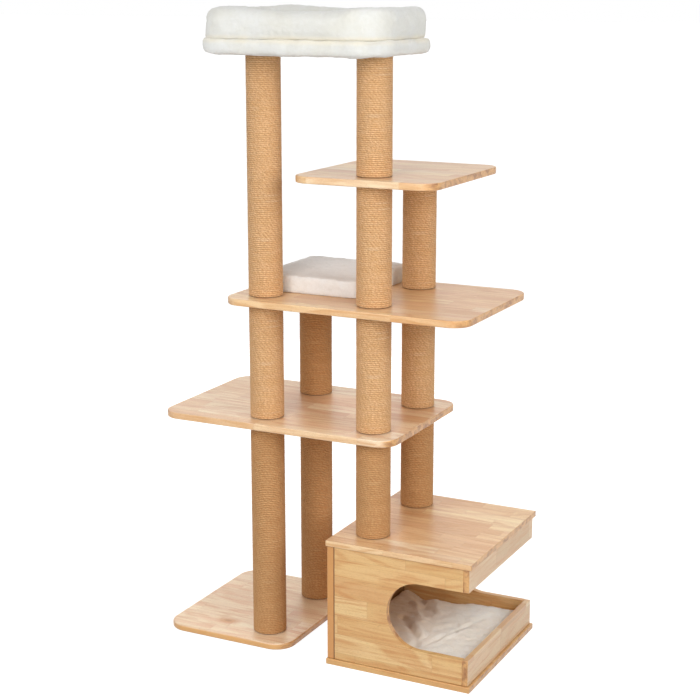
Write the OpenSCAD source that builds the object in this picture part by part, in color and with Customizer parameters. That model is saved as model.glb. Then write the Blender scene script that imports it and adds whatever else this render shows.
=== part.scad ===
// Cat tree: rope-wrapped posts carry solid-wood shelves and a plush bed, and stand on
// a base board and on an open-sided wooden cubby.
// Millimetres, +Z up. X runs along the front and Y from front to back. The origin is on
// the floor, under the middle of the whole tree.

/* [Posts] */
// Diameter over the rope
post_d = 90; // [80:1:100]
// Thickness of the rope winding
rope_t = 5; // [4:0.5:6]
// Wall of the cardboard core
core_wall = 4; // [3:0.5:6]
// Spacing of the posts along the front
pitch_x = 310; // [290:2:320]
// Spacing of the posts from front to back
pitch_y = 274; // [260:2:290]
// Length of a post between the cubby and the lower shelf
short_post = 261; // [240:1:300]
// Length of a post between two shelves
mid_post = 306; // [280:1:340]
// Distance from the base board's left edge to the left posts
base_to_post = 280; // [240:2:290]

/* [Shelves] */
// Thickness of the base board, the shelves and the bed board
board_t = 18; // [18:1:22]
// Length of the two long shelves
long_shelf_w = 676; // [640:2:700]
// Length of the small shelf
small_shelf_w = 390; // [380:2:400]
// Depth of all shelves
shelf_depth = 442; // [420:2:450]
// Distance from a long shelf's near end to its outer posts
shelf_end = 86; // [60:1:100]
// Radius of the shelves' corners
shelf_corner_r = 50; // [30:1:60]
// Rounding along the shelves' edges
shelf_edge_r = 3; // [1:0.5:5]

/* [Base board] */
// Width of the base board
base_w = 376; // [350:2:400]
// Depth of the base board and of the cubby
base_depth = 458; // [450:2:480]
// Radius of the base board's corners
base_corner_r = 56; // [30:1:70]
// Rounding along the base board's edges
base_edge_r = 5; // [1:0.5:6]

/* [Cubby] */
// Gap between the base board and the cubby
cubby_gap = 125; // [110:1:140]
// Width of the cubby's top and bottom panels
cubby_w = 403; // [390:1:430]
// Height of the cubby
cubby_h = 340; // [320:2:360]
// Thickness of the cubby's panels
panel_t = 15; // [15:1:18]
// Thickness of the cubby's left side panel
side_panel_t = 20; // [18:1:24]
// Overhang of the top and bottom panels at the left
lip_left = 2; // [1:1:6]
// Overhang of the top and bottom panels at the right
lip_right = 7; // [2:1:10]
// Overhang of the top and bottom panels at the front and back
lip_front = 5; // [2:1:10]
// Radius of the round end of the openings
opening_r = 90; // [80:1:95]
// Height of the openings' lower edge above the floor
sill_h = 84; // [70:1:90]
// Length of the openings, from the round end to the open side
opening_len = 209; // [190:1:230]

/* [Plush] */
// Width of the bed over its lower tier
bed_w = 500; // [470:2:520]
// Depth of the bed over its lower tier
bed_depth = 330; // [310:2:330]
// Radius of the bed's corners
bed_corner_r = 62; // [50:1:75]
// Height of the bed's lower tier
bed_tier_h = 35; // [35:1:45]
// Drop of the lower tier below the bed board
bed_drop = 11; // [6:1:12]
// Height of the bolster above the lower tier
bolster_h = 73; // [60:1:85]
// Thickness of the bolster
bolster_wall = 64; // [55:1:90]
// Thickness of the loose pad on the floor of the bed
bed_pad_t = 26; // [20:1:30]
// Side of the square cushion on the middle shelf
cushion_w = 300; // [280:2:302]
// Thickness of that cushion
cushion_t = 46; // [35:1:55]
// Thickness of the mat in the cubby
mat_t = 55; // [40:1:60]

/* [Fasteners] */
// Diameter of the bolts and studs
bolt_d = 8; // [6:1:8]
// Length of a post bolt under its head
bolt_l = 30; // [28:1:30]
// Outer diameter of the threaded inserts
insert_d = 12; // [11:1:14]
// Thickness of the plug in each end of a post
plug_t = 20; // [20:1:26]

/* [Hidden] */
$fn = 96;
glue_gap = 0.2;          // between core, rope and plugs
soft_gap = 0.3;          // between a loose soft piece and its neighbours
bolt_hole_d = bolt_d + 1; // with 1 mm of clearance
head_d = 14;
head_h = 6;
washer_d = 22;
washer_t = 2;
recess_d = 24;           // counterbore for a head and its washer
recess_h = 9;
blind_insert_h = 12;     // insert in the underside of a shelf that ends a column
dowel_d = 8;
dowel_l = 24;
dowel_in_panel = 10;     // part of a dowel inside the panel it stands in
screw_d = 4;
screw_head_d = 8;
screw_head_h = 3;
screw_l = 40;
panel_edge_r = 1.5;
panel_corner_r = 2;
tier_edge_r = 8;
tier_wall = 15;          // plush of the lower tier beside the bed board
cover_edge_r = 3;
bolster_edge_r = 24;
bolster_step = 8;        // step from the lower tier's side in to the bolster's
cushion_edge_r = 12;
cushion_corner_r = 30;
mat_edge_r = 10;
mat_corner_r = 14;
mat_gap = 2;             // between the mat and the walls round it
base_front_y = -191;     // front edge of the base board
cubby_forward = 8;       // cubby's middle, in front of the base board's
posts_forward = 3;       // posts' middle, in front of the base board's
over = 1;                // how far a cut runs on past a face

core_d = post_d - 2 * rope_t - glue_gap;
plug_d = core_d - 2 * core_wall - glue_gap;

left_x = -(base_w + cubby_gap + cubby_w) / 2;
base_mid_x = left_x + base_w / 2;
base_mid_y = base_front_y + base_depth / 2;
cubby_x = left_x + base_w + cubby_gap;
cubby_mid_x = cubby_x + cubby_w / 2;
cubby_mid_y = base_mid_y - cubby_forward;
posts_mid_y = base_mid_y - posts_forward;

post_left = left_x + base_to_post;
post_right = post_left + pitch_x;
post_front = posts_mid_y - pitch_y / 2;
post_back = posts_mid_y + pitch_y / 2;

lower_top = cubby_h + short_post + board_t;
middle_top = lower_top + mid_post + board_t;
upper_top = middle_top + mid_post + board_t;
bed_z = upper_top + mid_post;

lower_mid_x = post_right + shelf_end - long_shelf_w / 2;
middle_mid_x = post_left - shelf_end + long_shelf_w / 2;
bed_mid_x = (post_left + post_right) / 2;

cubby_top_z = cubby_h - panel_t;
carcass_x0 = cubby_x + lip_left;
carcass_x1 = cubby_x + cubby_w - lip_right;
carcass_y0 = cubby_mid_y - base_depth / 2 + lip_front;
carcass_y1 = cubby_mid_y + base_depth / 2 - lip_front;
carcass_h = cubby_top_z - panel_t;
inside_x0 = carcass_x0 + side_panel_t;
inside_x1 = carcass_x1 - panel_t;
header_z = sill_h + 2 * opening_r;

bolster_w = bed_w - 2 * bolster_step;
bolster_depth = bed_depth - 2 * bolster_step;
tier_z = bed_z - bed_drop;
bolster_z = tier_z + bed_tier_h;
bed_board_w = bed_w - 2 * tier_wall;
bed_board_depth = bed_depth - 2 * tier_wall;

FRONT_LEFT = [post_left, post_front];
FRONT_RIGHT = [post_right, post_front];
BACK_LEFT = [post_left, post_back];
BACK_RIGHT = [post_right, post_back];
COLUMNS = [
    ["front_left", FRONT_LEFT],
    ["front_right", FRONT_RIGHT],
    ["back_left", BACK_LEFT],
    ["back_right", BACK_RIGHT]
];
// Each post: its column, its name, the height of its foot and the height of its head
POSTS = [
    [0, "front_left_low", board_t, lower_top - board_t],
    [0, "front_left_mid", lower_top, middle_top - board_t],
    [0, "front_left_top", middle_top, bed_z],
    [1, "front_right_low", cubby_h, lower_top - board_t],
    [1, "front_right_mid", lower_top, middle_top - board_t],
    [1, "front_right_high", middle_top, upper_top - board_t],
    [1, "front_right_top", upper_top, bed_z],
    [2, "back_left_low", board_t, lower_top - board_t],
    [2, "back_left_mid", lower_top, middle_top - board_t],
    [3, "back_right_low", cubby_h, lower_top - board_t],
    [3, "back_right_mid", lower_top, middle_top - board_t],
    [3, "back_right_high", middle_top, upper_top - board_t]
];
// Each stud: its column's place and the top of the shelf that it passes through
STUDS = [
    [FRONT_LEFT, lower_top], [FRONT_LEFT, middle_top],
    [FRONT_RIGHT, lower_top], [FRONT_RIGHT, middle_top], [FRONT_RIGHT, upper_top],
    [BACK_LEFT, lower_top],
    [BACK_RIGHT, lower_top], [BACK_RIGHT, middle_top]
];
// Each blind joint under a shelf that ends a column: place and the shelf's top
BLIND = [[BACK_LEFT, middle_top], [BACK_RIGHT, upper_top]];

// Places of the cubby's dowels and screws: along X from the carcass's left face, along Y
// from its front face, and along Z from the floor
dowel_xs = [90, 300];
dowel_ys = [60, 224, 388];
dowel_zs = [50, 174, 295];
screw_ys = [100, 348];
// Middle of the shelf cushion
CUSHION = [post_left + 95, post_back - 76];

WOOD = [0.90, 0.77, 0.60];
WOOD_WARM = [0.84, 0.68, 0.46];
JUTE = [0.77, 0.62, 0.42];
CARD = [0.62, 0.50, 0.38];
STEEL = [0.66, 0.67, 0.69];
PLUSH = [0.94, 0.94, 0.92];
CREAM = [0.91, 0.88, 0.83];

function rope_node(p) = str("rope_", p[1]);
function core_node(p) = str("core_", p[1]);
function plug_node(c) = str("end_plugs_", c[0]);

// ---- Shared shapes ----

module rounded_rect(w, h, r) {
    square([w - 2 * r, h], center = true);
    square([w, h - 2 * r], center = true);
    for (x = [-1, 1], y = [-1, 1])
        translate([x * (w / 2 - r), y * (h / 2 - r)])
            circle(r);
}

// Half of a board's section, from its axis out to its rounded edge
module rim_profile(reach, t, r) {
    intersection() {
        rounded_rect(2 * reach, t, r);
        translate([0, -t / 2])
            square([reach, t]);
    }
}

// Board with rounded corners and rounded-over edges, standing on z = 0
module rounded_board(w, d, t, corner_r, edge_r) {
    translate([0, 0, t / 2]) {
        union() {
            rotate([90, 0, 90])
                linear_extrude(w - 2 * corner_r, center = true)
                    rounded_rect(d, t, edge_r);
            rotate([90, 0, 0])
                linear_extrude(d - 2 * corner_r, center = true)
                    rounded_rect(w, t, edge_r);
        }
        for (x = [-1, 1], y = [-1, 1])
            translate([x * (w / 2 - corner_r), y * (d / 2 - corner_r), 0])
                rotate_extrude()
                    rim_profile(corner_r, t, edge_r);
    }
}

module shelf_blank(w, mid_x, top_z) {
    translate([mid_x, posts_mid_y, top_z - board_t])
        rounded_board(w, shelf_depth, board_t, shelf_corner_r, shelf_edge_r);
}

// Panel of the cubby between two corners, with its arrises eased
module panel(low, high) {
    size = high - low;
    translate([(low.x + high.x) / 2, (low.y + high.y) / 2, low.z])
        rounded_board(size.x, size.y, size.z, panel_corner_r, panel_edge_r);
}

module hole(place, d, z0, z1) {
    translate([place.x, place.y, z0])
        cylinder(h = z1 - z0, d = d);
}

// Round opening that runs on square to the cubby's open side
module opening_shape(y0, y1) {
    round_x = inside_x1 - opening_len + opening_r;
    mid_z = sill_h + opening_r;
    translate([round_x, y1, mid_z])
        rotate([90, 0, 0])
            cylinder(h = y1 - y0, r = opening_r);
    translate([round_x, y0, sill_h])
        cube([opening_len, y1 - y0, 2 * opening_r]);
}

// ---- Boards ----

module base_board() {
    color(WOOD)
        difference() {
            translate([base_mid_x, base_mid_y, 0])
                rounded_board(base_w, base_depth, board_t, base_corner_r, base_edge_r);
            for (place = [FRONT_LEFT, BACK_LEFT]) {
                hole(place, bolt_hole_d, -over, board_t + over);
                hole(place, recess_d, -over, recess_h);
            }
        }
}

module lower_shelf() {
    color(WOOD)
        difference() {
            shelf_blank(long_shelf_w, lower_mid_x, lower_top);
            for (c = COLUMNS)
                hole(c[1], bolt_hole_d, lower_top - board_t - over, lower_top + over);
        }
}

module middle_shelf() {
    color(WOOD)
        difference() {
            shelf_blank(long_shelf_w, middle_mid_x, middle_top);
            for (place = [FRONT_LEFT, FRONT_RIGHT, BACK_RIGHT])
                hole(place, bolt_hole_d, middle_top - board_t - over, middle_top + over);
            hole(BACK_LEFT, insert_d, middle_top - board_t - over, middle_top - board_t + blind_insert_h);
        }
}

module upper_shelf() {
    color(WOOD)
        difference() {
            shelf_blank(small_shelf_w, post_right, upper_top);
            hole(FRONT_RIGHT, bolt_hole_d, upper_top - board_t - over, upper_top + over);
            hole(BACK_RIGHT, insert_d, upper_top - board_t - over, upper_top - board_t + blind_insert_h);
        }
}

module bed_board() {
    color(WOOD)
        difference() {
            translate([bed_mid_x, post_front, bed_z])
                rounded_board(bed_board_w, bed_board_depth, board_t, shelf_corner_r, shelf_edge_r);
            for (place = [FRONT_LEFT, FRONT_RIGHT]) {
                hole(place, bolt_hole_d, bed_z - over, bed_z + board_t + over);
                hole(place, recess_d, bed_z + board_t - recess_h, bed_z + board_t + over);
            }
        }
}

// ---- Cubby ----

// Dowels along Z between the top panel and the panels that stand under it
module upright_dowels(gap = 0) {
    z0 = cubby_top_z - dowel_l + dowel_in_panel - gap;
    places = concat(
        [for (y = dowel_ys) [carcass_x0 + side_panel_t / 2, carcass_y0 + y]],
        [for (x = dowel_xs, y = [carcass_y0, carcass_y1 - panel_t]) [carcass_x0 + x, y + panel_t / 2]],
        [for (y = dowel_ys) [inside_x1 + panel_t / 2, carcass_y0 + y]]
    );
    for (place = places)
        hole(place, dowel_d, z0, z0 + dowel_l + 2 * gap);
}

module lying_dowel(x0, y, z, gap) {
    translate([x0 - gap, y, z])
        rotate([0, 90, 0])
            cylinder(h = dowel_l + 2 * gap, d = dowel_d);
}

// Dowels along X at both ends of the front and back panels
module lying_dowels(gap = 0) {
    for (y = [carcass_y0 + panel_t / 2, carcass_y1 - panel_t / 2]) {
        for (z = dowel_zs)
            lying_dowel(inside_x0 - dowel_in_panel, y, z, gap);
        for (z = [dowel_zs[0], dowel_zs[2]])
            lying_dowel(inside_x1 + dowel_in_panel - dowel_l, y, z, gap);
    }
}

// Countersunk screws up through the bottom panel
module bottom_screws() {
    places = concat(
        [for (y = screw_ys) [carcass_x0 + side_panel_t / 2, carcass_y0 + y]],
        [for (x = dowel_xs, y = [carcass_y0, carcass_y1 - panel_t]) [carcass_x0 + x, y + panel_t / 2]],
        [for (y = screw_ys) [inside_x1 + panel_t / 2, carcass_y0 + y]]
    );
    for (place = places) {
        hole(place, screw_d, 0, screw_l);
        translate([place.x, place.y, 0])
            cylinder(h = screw_head_h, d1 = screw_head_d, d2 = screw_d);
    }
}

module cubby_top() {
    color(WOOD)
        difference() {
            panel([cubby_x, cubby_mid_y - base_depth / 2, cubby_top_z],
                  [cubby_x + cubby_w, cubby_mid_y + base_depth / 2, cubby_h]);
            upright_dowels();
            for (place = [FRONT_RIGHT, BACK_RIGHT])
                hole(place, bolt_hole_d, cubby_top_z - over, cubby_h + over);
        }
}

module cubby_bottom() {
    color(WOOD)
        difference() {
            panel([cubby_x, cubby_mid_y - base_depth / 2, 0],
                  [cubby_x + cubby_w, cubby_mid_y + base_depth / 2, panel_t]);
            bottom_screws();
        }
}

module cubby_side() {
    color(WOOD_WARM)
        difference() {
            panel([carcass_x0, carcass_y0, panel_t], [inside_x0, carcass_y1, cubby_top_z]);
            upright_dowels();
            lying_dowels();
            bottom_screws();
        }
}

// Front or back panel, with the opening cut through it
module opening_panel(y0) {
    color(WOOD_WARM)
        difference() {
            panel([inside_x0, y0, panel_t], [inside_x1, y0 + panel_t, cubby_top_z]);
            opening_shape(y0 - over, y0 + panel_t + over);
            upright_dowels();
            lying_dowels();
            bottom_screws();
        }
}

module cubby_front() {
    opening_panel(carcass_y0);
}

module cubby_back() {
    opening_panel(carcass_y1 - panel_t);
}

module rail(z0, z1) {
    color(WOOD_WARM)
        difference() {
            panel([inside_x1, carcass_y0, z0], [carcass_x1, carcass_y1, z1]);
            upright_dowels();
            lying_dowels();
            bottom_screws();
        }
}

module cubby_upper_rail() {
    rail(header_z, cubby_top_z);
}

module cubby_lower_rail() {
    rail(panel_t, sill_h);
}

module cubby_dowels() {
    color(WOOD) {
        upright_dowels();
        lying_dowels();
    }
}

module cubby_screws() {
    color(STEEL)
        bottom_screws();
}

// ---- Posts ----

module tube(place, z0, z1, outer_d, inner_d) {
    difference() {
        hole(place, outer_d, z0, z1);
        hole(place, inner_d, z0 - over, z1 + over);
    }
}

module post_core(p) {
    color(CARD)
        tube(COLUMNS[p[0]][1], p[2], p[3], core_d, core_d - 2 * core_wall);
}

module post_rope(p) {
    color(JUTE)
        tube(COLUMNS[p[0]][1], p[2], p[3], post_d, post_d - 2 * rope_t);
}

// Heights of the lower faces of all plugs in a column
function plug_heights(index) =
    [for (p = POSTS) if (p[0] == index) for (z = [p[2], p[3] - plug_t]) z];

module end_plugs(index) {
    color(WOOD_WARM)
        for (z = plug_heights(index))
            tube(COLUMNS[index][1], z, z + plug_t, plug_d, insert_d);
}

module post_inserts() {
    color(STEEL)
        for (index = [0 : len(COLUMNS) - 1], z = plug_heights(index))
            tube(COLUMNS[index][1], z, z + plug_t, insert_d, bolt_d);
}

module shelf_inserts() {
    color(STEEL)
        for (b = BLIND)
            tube(b[0], b[1] - board_t, b[1] - board_t + blind_insert_h, insert_d, bolt_d);
}

// ---- Fasteners ----

module joining_studs() {
    color(STEEL)
        for (s = STUDS)
            hole(s[0], bolt_d, s[1] - board_t - plug_t, s[1] + plug_t);
}

module blind_studs() {
    color(STEEL)
        for (b = BLIND)
            hole(b[0], bolt_d, b[1] - board_t - plug_t, b[1] - board_t + blind_insert_h);
}

// Bolt whose head sits below z and whose shank runs up from it
module bolt_up(place, z) {
    hole(place, head_d, z - head_h, z);
    hole(place, bolt_d, z, z + bolt_l);
}

module bolt_down(place, z) {
    hole(place, head_d, z, z + head_h);
    hole(place, bolt_d, z - bolt_l, z);
}

module post_bolts() {
    color(STEEL) {
        for (place = [FRONT_LEFT, BACK_LEFT])
            bolt_up(place, recess_h - washer_t);
        for (place = [FRONT_RIGHT, BACK_RIGHT])
            bolt_up(place, cubby_top_z - washer_t);
        for (place = [FRONT_LEFT, FRONT_RIGHT])
            bolt_down(place, bed_z + board_t - recess_h + washer_t);
    }
}

module washer(place, z) {
    tube(place, z, z + washer_t, washer_d, bolt_d);
}

module post_washers() {
    color(STEEL) {
        for (place = [FRONT_LEFT, BACK_LEFT])
            washer(place, recess_h - washer_t);
        for (place = [FRONT_RIGHT, BACK_RIGHT])
            washer(place, cubby_top_z - washer_t);
        for (place = [FRONT_LEFT, FRONT_RIGHT])
            washer(place, bed_z + board_t - recess_h);
    }
}

// ---- Soft pieces ----

// Lower tier of the bed: it wraps round the bed board and over it
module bed_tier() {
    color(PLUSH)
        difference() {
            translate([bed_mid_x, post_front, bed_z])
                rounded_board(bed_w, bed_depth, bed_tier_h - bed_drop, bed_corner_r, tier_edge_r);
            translate([bed_mid_x, post_front, bed_z - over])
                linear_extrude(board_t + over)
                    rounded_rect(bed_board_w, bed_board_depth, shelf_corner_r);
        }
}

// Padded cover under the bed board, with a hole for each post
module bed_under_cover() {
    color(PLUSH)
        difference() {
            translate([bed_mid_x, post_front, tier_z])
                rounded_board(bed_w, bed_depth, bed_drop, bed_corner_r, cover_edge_r);
            for (place = [FRONT_LEFT, FRONT_RIGHT])
                hole(place, post_d, tier_z - over, bed_z + over);
        }
}

module bed_bolster() {
    hollow_r = bed_corner_r - bolster_edge_r;
    color(PLUSH)
        difference() {
            translate([bed_mid_x, post_front, bolster_z])
                rounded_board(bolster_w, bolster_depth, bolster_h, bed_corner_r, bolster_edge_r);
            translate([bed_mid_x, post_front, bolster_z - over])
                linear_extrude(bolster_h + 2 * over)
                    rounded_rect(bolster_w - 2 * bolster_wall, bolster_depth - 2 * bolster_wall, hollow_r);
        }
}

module bed_pad() {
    w = bolster_w - 2 * bolster_wall - 2 * soft_gap;
    d = bolster_depth - 2 * bolster_wall - 2 * soft_gap;
    color(PLUSH)
        translate([bed_mid_x, post_front, bolster_z])
            rounded_board(w, d, bed_pad_t, bed_corner_r - bolster_edge_r, cushion_edge_r);
}

module shelf_cushion() {
    color(CREAM)
        translate([CUSHION.x, CUSHION.y, middle_top + soft_gap])
            rounded_board(cushion_w, cushion_w, cushion_t, cushion_corner_r, cushion_edge_r);
}

module cubby_mat() {
    w = inside_x1 - inside_x0 - 2 * mat_gap;
    d = carcass_y1 - carcass_y0 - 2 * panel_t - 2 * mat_gap;
    color(CREAM)
        translate([(inside_x0 + inside_x1) / 2, cubby_mid_y, panel_t + soft_gap])
            rounded_board(w, d, mat_t, mat_corner_r, mat_edge_r);
}

base_board();
lower_shelf();
middle_shelf();
upper_shelf();
bed_board();
cubby_top();
cubby_bottom();
cubby_side();
cubby_front();
cubby_back();
cubby_upper_rail();
cubby_lower_rail();
cubby_dowels();
cubby_screws();
for (p = POSTS) {
    post_core(p);
    post_rope(p);
}
for (index = [0 : len(COLUMNS) - 1])
    end_plugs(index);
post_inserts();
shelf_inserts();
joining_studs();
blind_studs();
post_bolts();
post_washers();
bed_tier();
bed_under_cover();
bed_bolster();
bed_pad();
shelf_cushion();
cubby_mat();
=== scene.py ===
"""Cat tree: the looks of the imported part, with its rope, its plush and its wood.

Lengths are in metres, in the frame of the CAD part: X runs along the front, Y from front
to back and Z up, and the origin is on the floor under the middle of the tree.
"""

import math
from collections import namedtuple

import bpy
import numpy as np
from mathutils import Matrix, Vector, noise


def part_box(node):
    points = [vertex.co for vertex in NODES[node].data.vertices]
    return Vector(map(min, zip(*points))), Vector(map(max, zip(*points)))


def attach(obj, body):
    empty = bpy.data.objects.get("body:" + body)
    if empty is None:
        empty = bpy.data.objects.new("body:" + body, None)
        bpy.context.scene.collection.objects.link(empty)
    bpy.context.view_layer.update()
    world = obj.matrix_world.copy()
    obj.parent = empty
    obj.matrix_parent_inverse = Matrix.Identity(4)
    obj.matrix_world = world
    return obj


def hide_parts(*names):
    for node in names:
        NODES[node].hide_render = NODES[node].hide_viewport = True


MM = 0.001
AXES = "xyz"

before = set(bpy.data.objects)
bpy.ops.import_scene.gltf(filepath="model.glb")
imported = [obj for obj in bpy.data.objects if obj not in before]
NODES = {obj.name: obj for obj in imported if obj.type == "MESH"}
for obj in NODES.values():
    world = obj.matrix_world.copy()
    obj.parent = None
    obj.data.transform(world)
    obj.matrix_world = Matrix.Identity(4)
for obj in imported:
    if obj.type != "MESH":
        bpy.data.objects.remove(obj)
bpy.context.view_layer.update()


def rgb(red, green, blue):
    """Linear colour of 8-bit sRGB values."""
    return tuple(((c / 255 + 0.055) / 1.055) ** 2.4 for c in (red, green, blue)) + (1.0,)


# ---- Materials ----


class Look:
    """A material under construction. Its methods add one node each and return its result."""

    def __init__(self, name):
        self.material = bpy.data.materials.new(name)
        self.material.use_nodes = True
        self.tree = self.material.node_tree
        self.shader = self.tree.nodes["Principled BSDF"]

    def node(self, kind, settings=None, **inputs):
        made = self.tree.nodes.new("ShaderNode" + kind)
        for key, value in (settings or {}).items():
            setattr(made, key, value)
        for key, value in inputs.items():
            self.put(made.inputs[key.replace("_", " ")], value)
        return made

    def put(self, socket, value):
        if isinstance(value, bpy.types.NodeSocket):
            self.tree.links.new(value, socket)
        else:
            socket.default_value = value

    def surface(self, **inputs):
        for key, value in inputs.items():
            self.put(self.shader.inputs[key.replace("_", " ")], value)

    def math(self, operation, *values):
        made = self.node("Math", {"operation": operation})
        for socket, value in zip(made.inputs, values):
            self.put(socket, value)
        return made.outputs[0]

    def place(self):
        return self.node("TexCoord").outputs["Object"]

    def split(self, vector):
        made = self.node("SeparateXYZ", Vector=vector)
        return dict(zip(AXES, made.outputs))

    def join(self, x, y, z):
        return self.node("CombineXYZ", X=x, Y=y, Z=z).outputs[0]

    def vector(self, operation, *values):
        made = self.node("VectorMath", {"operation": operation})
        for socket, value in zip(made.inputs, values):
            self.put(socket, value)
        return made.outputs["Value" if operation == "DISTANCE" else "Vector"]

    def stretch(self, vector, scales):
        return self.vector("MULTIPLY", vector, scales)

    def noise(self, vector, scale, detail, roughness=0.5, distortion=0.0):
        made = self.node("TexNoise", Vector=vector, Scale=scale, Detail=detail)
        self.put(made.inputs["Roughness"], roughness)
        self.put(made.inputs["Distortion"], distortion)
        return made.outputs["Fac"]

    def chance(self, x, y, seed):
        """Random number, and three more as a colour, for each whole x and y."""
        made = self.node("TexWhiteNoise", Vector=self.join(x, y, float(seed)))
        return made.outputs["Value"], made.outputs["Color"]

    def span(self, value, low, high, to_low=0.0, to_high=1.0):
        """value from low to high becomes to_low to to_high, smoothly and within them."""
        made = self.node("MapRange", {"interpolation_type": "SMOOTHSTEP"}, Value=value)
        ends = ("From Min", "From Max", "To Min", "To Max")
        for end, number in zip(ends, (low, high, to_low, to_high)):
            made.inputs[end].default_value = number
        return made.outputs["Result"]

    def mix(self, share, a, b):
        made = self.node("Mix", {"data_type": "RGBA"})
        for socket, value in zip((made.inputs[0], made.inputs[6], made.inputs[7]), (share, a, b)):
            self.put(socket, value)
        return made.outputs[2]

    def steps(self, value, colours):
        """One of the colours, blended a little into the next, as value goes from 0 to 1."""
        made = self.node("ValToRGB", Fac=value)
        points = made.color_ramp.elements
        points[0].color, points[-1].color = colours[0], colours[-1]
        for index, colour in enumerate(colours[1:-1], 1):
            points.new(index / (len(colours) - 1)).color = colour
        return made.outputs["Color"]

    def bump(self, height, depth, strength):
        made = self.node("Bump", Height=height, Distance=depth, Strength=strength)
        self.put(self.shader.inputs["Normal"], made.outputs[0])


SEAM = 0.6 * MM
FINGER_PITCH = 3.6 * MM
FINGER_DEPTH = 5 * MM
ROW_SHIFT = 0.37  # of a stave's width, from one board to the next
SCATTER = (30.0, 30.0, 30.0)  # metres of grain between one stave and another, at most
RINGS = 40.0  # phase of the grain's bands across the whole range of the field they follow
GRAIN = rgb(203, 140, 78)
ROSY = rgb(228, 178, 140)
PORE = rgb(140, 92, 54)
# Painted shade for the thin shadow line along each joint between boards
JOINT_SHADE = rgb(104, 62, 30)
EDGE = rgb(222, 164, 92)
END_PALE = rgb(226, 174, 112)
END_DARK = rgb(150, 92, 50)
KNOT_RING = rgb(206, 146, 88)

PALE_TONES = [
    rgb(252, 228, 182),
    rgb(234, 192, 144),
    rgb(247, 216, 170),
    rgb(225, 180, 132),
    rgb(253, 234, 199),
]
CREAM_TONES = [
    rgb(253, 238, 208),
    rgb(243, 219, 186),
    rgb(252, 232, 199),
    rgb(236, 208, 174),
    rgb(254, 242, 219),
]
MIXED_TONES = [
    rgb(255, 240, 208),
    rgb(234, 196, 154),
    rgb(254, 231, 195),
    rgb(225, 183, 140),
    rgb(255, 238, 210),
]
WARM_TONES = [
    rgb(231, 192, 131),
    rgb(221, 178, 117),
    rgb(237, 204, 146),
    rgb(217, 170, 110),
    rgb(228, 187, 126),
]
RAIL_TONES = [
    rgb(227, 198, 155),
    rgb(209, 174, 128),
    rgb(236, 209, 168),
    rgb(198, 157, 110),
    rgb(231, 202, 158),
]
BROWN_TONES = [
    rgb(220, 160, 94),
    rgb(204, 142, 78),
    rgb(230, 178, 110),
    rgb(196, 132, 74),
    rgb(216, 156, 94),
]
KNOT = (-0.301, -0.106)  # the one knot, in the base board
KNOT_R = 0.022
KNOT_DRAW = 0.6  # a distance along the grain counts this much, so the knot is drawn out


def glue_line(look, count, width):
    """1 within half of width from each whole number that count passes, and 0 between them."""
    off_middle = look.math("ABSOLUTE", look.math("SUBTRACT", look.math("FRACT", count), 0.5))
    return look.math("GREATER_THAN", off_middle, 0.5 - width / 2)


def lay_staves(look, u, v, w, board, seed):
    """Rows of staves joined end to end by fingers: random numbers for each, and the glue lines.

    The staves of one row are all as long as each other, from 0.77 to 1.43 of the board's reach.
    """
    rows = look.math("ADD", look.math("DIVIDE", v, board.stave), ROW_SHIFT * seed)
    row = look.math("FLOOR", rows)
    row_chance, _ = look.chance(row, 0.0, seed)
    zigzag = look.math("PINGPONG", w, FINGER_PITCH / 2)
    jagged = look.math("MULTIPLY_ADD", zigzag, FINGER_DEPTH / (FINGER_PITCH / 2), u)
    pace = look.math("MULTIPLY_ADD", row_chance, 0.6 / board.reach, 0.7 / board.reach)
    columns = look.math("MULTIPLY_ADD", row_chance, 9.0, look.math("MULTIPLY", jagged, pace))
    chance, shift = look.chance(row, look.math("FLOOR", columns), seed)
    between_rows = glue_line(look, rows, SEAM / board.stave)
    seams = look.math("MAXIMUM", between_rows, glue_line(look, columns, SEAM / board.reach))
    return chance, shift, seams


def knot_distance(look, u, v):
    beside = look.math("MULTIPLY", look.math("SUBTRACT", u, KNOT[0]), KNOT_DRAW)
    return look.vector("DISTANCE", look.join(beside, v, 0.0), (0.0, KNOT[1], 0.0))


def cut_ends(look, colour, facing, grain_at):
    """Covers the faces across the grain with end grain: its rings, and the rays over them."""
    rays = look.noise(look.stretch(grain_at, (40.0, 260.0, 700.0)), 1.0, 3.0, 0.6)
    rings = look.noise(look.stretch(grain_at, (2.0, 34.0, 60.0)), 1.0, 2.0, 0.6)
    end_grain = look.mix(look.span(rings, 0.38, 0.70, 0.0, 0.8), END_PALE, END_DARK)
    end_grain = look.mix(look.span(rays, 0.4, 0.7, 0.0, 0.45), end_grain, PORE)
    return look.mix(look.span(look.math("ABSOLUTE", facing), 0.35, 0.75), colour, end_grain)


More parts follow.
